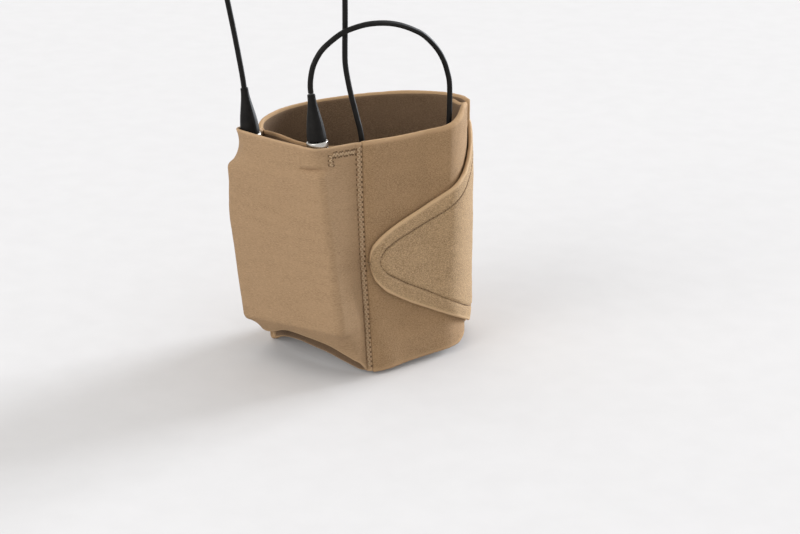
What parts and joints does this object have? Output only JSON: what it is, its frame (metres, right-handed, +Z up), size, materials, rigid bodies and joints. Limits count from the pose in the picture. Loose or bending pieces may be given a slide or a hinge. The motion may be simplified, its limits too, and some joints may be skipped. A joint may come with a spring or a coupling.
{
  "type": "ankle compression wrap",
  "caption": "Stretch ankle wrap with a rounded hook-and-loop closing tab and a front pocket holding a slim battery pack, with a whip aerial and a lead that tucks inside the band.",
  "frame": {"origin": "on the axis of the leg opening, in the plane of the wrap's lower rim", "axes": "+Z up along the leg, -Y to the front seam beside the pocket, +X to the side that the closing tab wraps over"},
  "size_m": [0.1267, 0.1115, 0.226],
  "materials": {
    "loop_felt": "brushed loop-faced stretch felt",
    "stretch_knit": "smooth stretch knit",
    "sewing_thread": "polyester sewing thread",
    "hook_tape": "moulded hook tape",
    "case_plastic": "fine-textured black moulding",
    "seal_rubber": "soft flat seal",
    "board_laminate": "solder-masked board",
    "cell_foil": "laminated cell pouch",
    "nickel": "bright nickel plate",
    "screw_steel": "zinc-plated steel",
    "moulded_black": "satin black moulded jacket"
  },
  "bodies": {
    "wrap": {"wrap_band": "loop_felt", "pocket_panel": "stretch_knit", "seam_thread_right": "sewing_thread", "seam_thread_left": "sewing_thread", "rim_thread": "sewing_thread"},
    "tab": {"closure_tab": "loop_felt", "hook_patch": "hook_tape", "tab_thread": "sewing_thread"},
    "pack": {"housing_front": "case_plastic", "housing_back": "case_plastic", "housing_seal": "seal_rubber", "case_screw_1": "screw_steel", "case_screw_2": "screw_steel", "case_screw_3": "screw_steel", "case_screw_4": "screw_steel", "circuit_board": "board_laminate", "battery_cell": "cell_foil", "socket_whip": "nickel", "socket_lead": "nickel", "socket_nut_whip": "nickel", "socket_nut_lead": "nickel"},
    "whip": {"whip_pin": "nickel", "whip_collar": "nickel", "whip_boot": "moulded_black", "whip_rod": "moulded_black", "whip_tip": "moulded_black"},
    "lead": {"lead_pin": "nickel", "lead_collar": "nickel", "lead_boot": "moulded_black", "lead_cord": "moulded_black", "end_relief": "moulded_black", "end_connector": "moulded_black", "end_sleeve": "nickel"}
  },
  "joints": [
    {"name": "tab_peel", "type": "hinge", "parent": "wrap", "child": "tab", "pos_m": [0.0533, 0.02, 0], "axis": [0, 0, 1], "range_deg": [0, 115]},
    {"name": "pack_slide", "type": "slide", "parent": "wrap", "child": "pack", "axis": [-0.1082, 0.0228, 0.9939], "range_m": [0, 0.1]},
    {"name": "whip_pull", "type": "slide", "parent": "pack", "child": "whip", "axis": [-0.1082, 0.0228, 0.9939], "range_m": [0, 0.014]},
    {"name": "lead_pull", "type": "slide", "parent": "pack", "child": "lead", "axis": [-0.1082, 0.0228, 0.9939], "range_m": [0, 0.014]}
  ]
}
